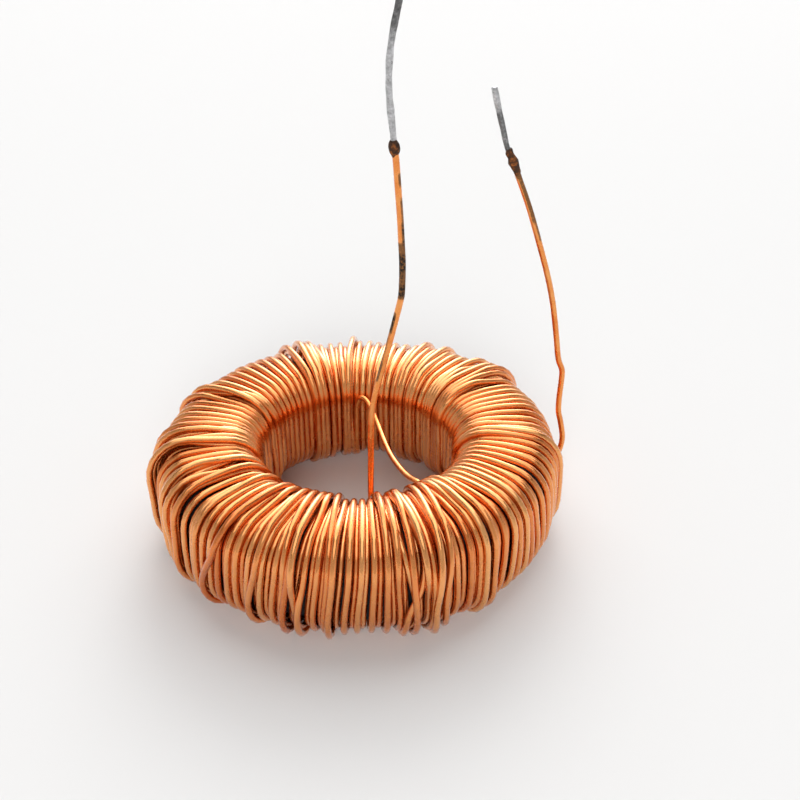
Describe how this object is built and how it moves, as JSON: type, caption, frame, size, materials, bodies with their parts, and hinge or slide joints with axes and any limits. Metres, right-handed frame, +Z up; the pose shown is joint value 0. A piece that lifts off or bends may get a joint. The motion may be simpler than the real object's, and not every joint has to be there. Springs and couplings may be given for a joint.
{
  "type": "toroidal inductor",
  "caption": "Ring-core inductor wound with enamelled copper wire, with two tall leads whose ends are stripped and tinned.",
  "frame": {"origin": "on the ring's axis, at the surface that the winding lies on", "axes": "+Z up along the ring's axis, the way the leads stand; +X towards the finish lead; the picture looks along +Y"},
  "size_m": [0.0337, 0.0332, 0.0475],
  "materials": {
    "ferrite": "matt black sintered ring",
    "enamelled_copper": "clear enamel over drawn copper",
    "tinned_wire": "dull solder, uneven",
    "burnt_enamel": "charred, brittle"
  },
  "bodies": {
    "root": {"ring_core": "ferrite", "first_row": "enamelled_copper", "second_row": "enamelled_copper", "start_lead": "enamelled_copper", "finish_lead": "enamelled_copper", "start_tinned_end": "tinned_wire", "finish_tinned_end": "tinned_wire", "start_burnt_enamel": "burnt_enamel", "finish_burnt_enamel": "burnt_enamel"}
  },
  "joints": []
}
